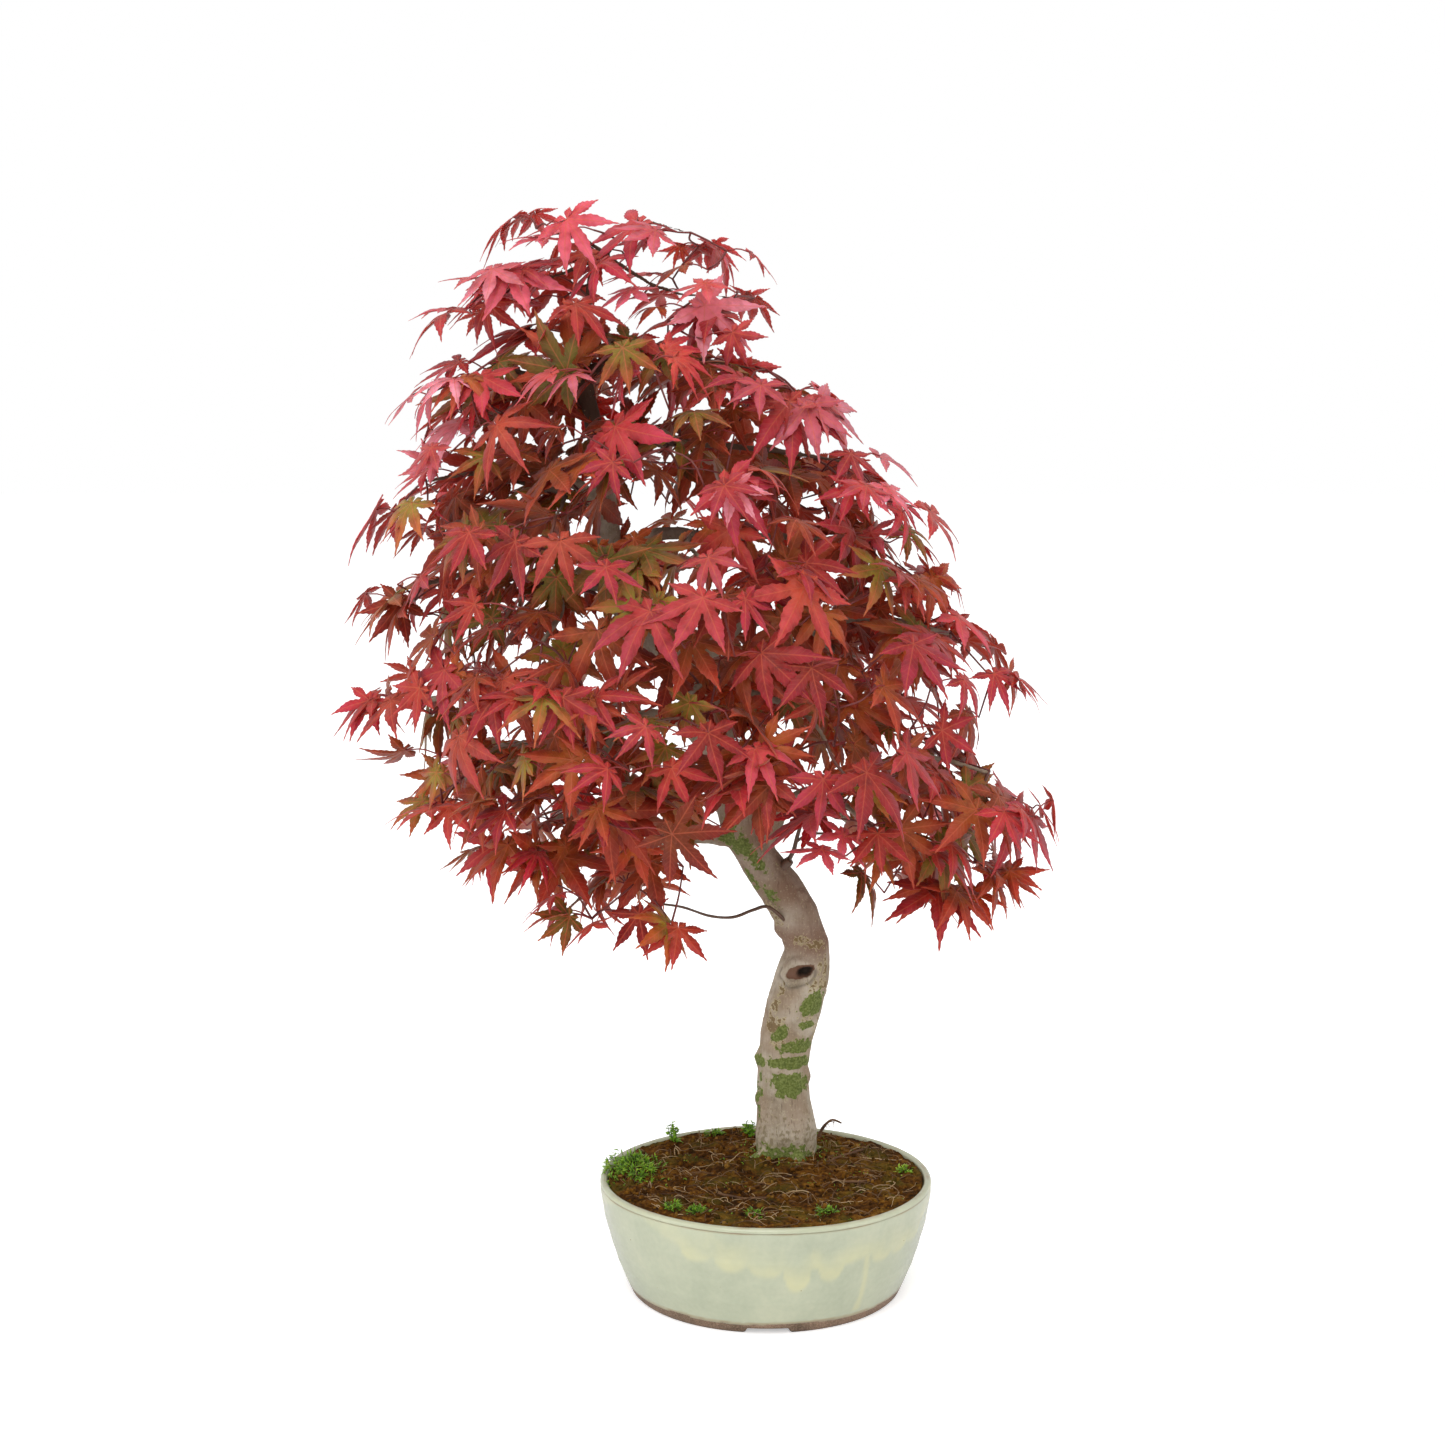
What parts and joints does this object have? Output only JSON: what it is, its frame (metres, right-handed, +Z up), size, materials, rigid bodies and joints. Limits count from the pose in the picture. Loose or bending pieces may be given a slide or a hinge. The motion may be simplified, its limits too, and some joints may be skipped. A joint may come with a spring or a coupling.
{
  "type": "potted Japanese maple bonsai",
  "caption": "Japanese maple bonsai with a curved trunk and layered sprays of red palmate leaves, in a round pale green glazed pot of soil and moss.",
  "frame": {"origin": "centre of the pot's foot, on the surface that the pot stands on", "axes": "+Z up along the height, +X to the tree's right as seen from its front, -Y towards its front"},
  "size_m": [0.456, 0.302, 0.6359],
  "materials": {
    "pot_glaze": "glossy pale green celadon glaze",
    "screen_plastic": "moulded",
    "clip_wire": "drawn wire",
    "soil": "rough, fibrous, damp",
    "bark": "smooth grey bark with green algae",
    "rootlet": "dry rootlet",
    "leaves": "thin leaf, satin sheen",
    "moss": "soft moss"
  },
  "bodies": {
    "root": {"dead_twig": "bark", "drain_screen_left": "screen_plastic", "drain_screen_right": "screen_plastic", "loose_root_1": "rootlet", "loose_root_2": "rootlet", "loose_root_3": "rootlet", "moss_clump": "moss", "moss_tuft_1": "moss", "moss_tuft_2": "moss", "moss_tuft_3": "moss", "moss_tuft_4": "moss", "moss_tuft_5": "moss", "moss_tuft_6": "moss", "pot": "pot_glaze", "screen_clip_left": "clip_wire", "screen_clip_right": "clip_wire", "soil": "soil", "spray_apex_crown": "leaves", "spray_apex_left": "leaves", "spray_apex_right": "leaves", "spray_apex_top": "leaves", "spray_front_1_left": "leaves", "spray_front_1_right": "leaves", "spray_left_1_back": "leaves", "spray_left_1_front": "leaves", "spray_left_1_long": "leaves", "spray_left_1_outer": "leaves", "spray_left_2_back": "leaves", "spray_left_2_front": "leaves", "spray_left_2_outer": "leaves", "spray_left_3_front": "leaves", "spray_left_3_outer": "leaves", "spray_left_4_outer": "leaves", "spray_low_left_back": "leaves", "spray_low_left_front": "leaves", "spray_low_left_outer": "leaves", "spray_low_right_back": "leaves", "spray_low_right_front": "leaves", "spray_low_right_outer": "leaves", "spray_low_right_under": "leaves", "spray_right_1_back": "leaves", "spray_right_1_outer": "leaves", "spray_right_2_back": "leaves", "spray_right_2_front": "leaves", "spray_right_2_outer": "leaves", "spray_right_3_back": "leaves", "spray_right_3_front": "leaves", "spray_right_3_outer": "leaves", "spray_right_4_back": "leaves", "spray_right_4_front": "leaves", "spray_right_4_outer": "leaves", "trunk_and_branches": "bark", "twig_stub": "bark", "weed_at_trunk": "moss", "weed_sprig": "moss"}
  },
  "joints": []
}
